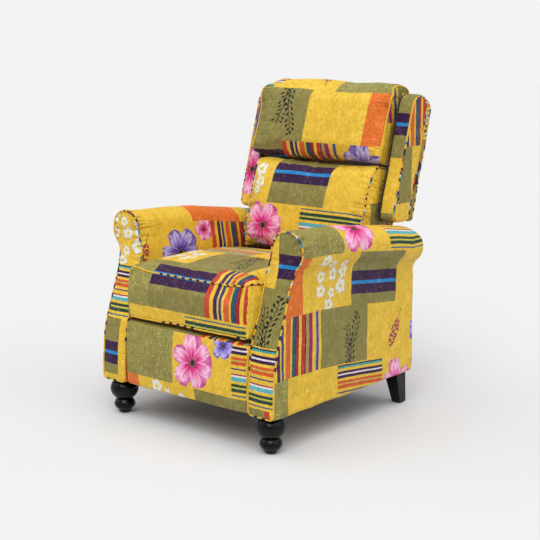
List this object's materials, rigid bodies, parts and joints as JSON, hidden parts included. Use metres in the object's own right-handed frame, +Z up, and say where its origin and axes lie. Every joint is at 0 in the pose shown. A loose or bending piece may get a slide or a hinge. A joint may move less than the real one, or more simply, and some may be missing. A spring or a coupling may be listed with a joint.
{
  "type": "pushback recliner",
  "caption": "High-leg pushback recliner with rolled arms, wings, head and lumbar cushions, a gliding seat and a fold-out footrest.",
  "frame": {"origin": "on the floor, under the middle of the whole chair's box with the chair upright and closed", "axes": "+Z up, -Y towards the front of the chair, +X towards the side that a viewer in front of it sees on the right"},
  "size_m": [0.778, 0.8486, 1.0323],
  "materials": {
    "patchwork_velvet": "crushed velvet patchwork, mustard with olive, orange and striped patches",
    "black_lacquered_wood": "satin black lacquer",
    "dark_lining": "black non-woven lining",
    "black_steel": "black powder coat",
    "zinc_fasteners": "zinc plated",
    "spring_wire": "oiled spring wire",
    "nylon": "black nylon",
    "frame_timber": "sawn hardwood and plywood"
  },
  "bodies": {
    "base": {"arm_padding_right": "patchwork_velvet", "arm_padding_left": "patchwork_velvet", "arm_facing_right": "patchwork_velvet", "arm_facing_left": "patchwork_velvet", "outer_side_panel_right": "patchwork_velvet", "outer_side_panel_left": "patchwork_velvet", "arm_posts_right": "frame_timber", "arm_posts_left": "frame_timber", "arm_top_rail_right": "frame_timber", "arm_top_rail_left": "frame_timber", "arm_bottom_rails": "frame_timber", "arm_rear_panels": "patchwork_velvet", "mechanism_base_rail_right": "black_steel", "mechanism_base_rail_left": "black_steel", "front_foot_right": "black_lacquered_wood", "front_foot_left": "black_lacquered_wood", "rear_leg_right": "black_lacquered_wood", "rear_leg_left": "black_lacquered_wood", "foot_bolts": "zinc_fasteners", "floor_glides": "nylon", "base_cross_rails": "frame_timber", "rear_panel": "patchwork_velvet", "dust_cover": "dark_lining", "rail_bolts": "zinc_fasteners", "base_pivot_pins": "zinc_fasteners"},
    "front_swing": {"front_swing_links": "black_steel", "torque_tube": "black_steel"},
    "rear_swing": {"rear_swing_links": "black_steel"},
    "seat": {"seat_plate_right": "black_steel", "seat_plate_left": "black_steel", "seat_side_rails": "frame_timber", "seat_cross_rails": "frame_timber", "seat_springs": "spring_wire", "spring_clips": "nylon", "seat_deck": "dark_lining", "seat_cushion": "patchwork_velvet", "seat_pivot_pins": "zinc_fasteners"},
    "main_links": {"footrest_main_links": "black_steel", "main_link_pins": "zinc_fasteners"},
    "control_links": {"footrest_control_links": "black_steel"},
    "ottoman_links": {"ottoman_links": "black_steel", "ottoman_link_pins": "zinc_fasteners"},
    "tilt_links": {"tilt_links": "black_steel"},
    "footrest": {"footrest_board": "frame_timber", "footrest_pad": "patchwork_velvet", "footrest_brackets": "black_steel"},
    "back": {"back_brackets": "black_steel", "back_stile_right": "frame_timber", "back_stile_left": "frame_timber", "back_rails": "frame_timber", "back_webbing": "dark_lining", "back_bolts": "zinc_fasteners", "lumbar_cushion": "patchwork_velvet", "head_pillow": "patchwork_velvet", "wing_board_right": "frame_timber", "wing_board_left": "frame_timber", "wing_pad_right": "patchwork_velvet", "wing_pad_left": "patchwork_velvet", "outer_back_panel": "patchwork_velvet"}
  },
  "joints": [
    {"name": "seat_glide", "type": "hinge", "parent": "base", "child": "front_swing", "pos_m": [0, -0.24378, 0.155], "axis": [1, 0, 0], "range_deg": [0, 40]},
    {"name": "rear_swing_pivot", "type": "hinge", "parent": "base", "child": "rear_swing", "pos_m": [0, 0.05622, 0.155], "axis": [1, 0, 0], "range_deg": [0, 40.05]},
    {"name": "seat_level", "type": "hinge", "parent": "front_swing", "child": "seat", "pos_m": [0, -0.17495, 0.2533], "axis": [-1, 0, 0], "range_deg": [0, 40.05]},
    {"name": "footrest_open", "type": "hinge", "parent": "seat", "child": "main_links", "pos_m": [0, -0.30378, 0.283], "axis": [-1, 0, 0], "range_deg": [0, 145.05]},
    {"name": "control_pivot", "type": "hinge", "parent": "seat", "child": "control_links", "pos_m": [0, -0.26474, 0.26751], "axis": [-1, 0, 0], "range_deg": [0, 145.05]},
    {"name": "ottoman_elbow", "type": "hinge", "parent": "main_links", "child": "ottoman_links", "pos_m": [0, -0.15882, 0.13804], "axis": [1, 0, 0], "range_deg": [0, 145.05]},
    {"name": "tilt_pivot", "type": "hinge", "parent": "main_links", "child": "tilt_links", "pos_m": [0, -0.14936, 0.14968], "axis": [1, 0, 0], "range_deg": [0, 150.05]},
    {"name": "footrest_tilt", "type": "hinge", "parent": "ottoman_links", "child": "footrest", "pos_m": [0, -0.35778, 0.217], "axis": [-1, 0, 0], "range_deg": [0, 96.05]},
    {"name": "back_recline", "type": "hinge", "parent": "seat", "child": "back", "pos_m": [0, 0.21622, 0.36], "axis": [-1, 0, 0], "range_deg": [0, 25]}
  ],
  "couplings": [
    {"joint": "rear_swing_pivot", "follows": "seat_glide", "ratio": 1},
    {"joint": "seat_level", "follows": "seat_glide", "ratio": 1},
    {"joint": "footrest_open", "follows": "seat_glide", "ratio": 3.625},
    {"joint": "control_pivot", "follows": "seat_glide", "ratio": 3.625},
    {"joint": "ottoman_elbow", "follows": "seat_glide", "ratio": 3.625},
    {"joint": "tilt_pivot", "follows": "seat_glide", "ratio": 3.75},
    {"joint": "footrest_tilt", "follows": "seat_glide", "ratio": 2.4}
  ]
}
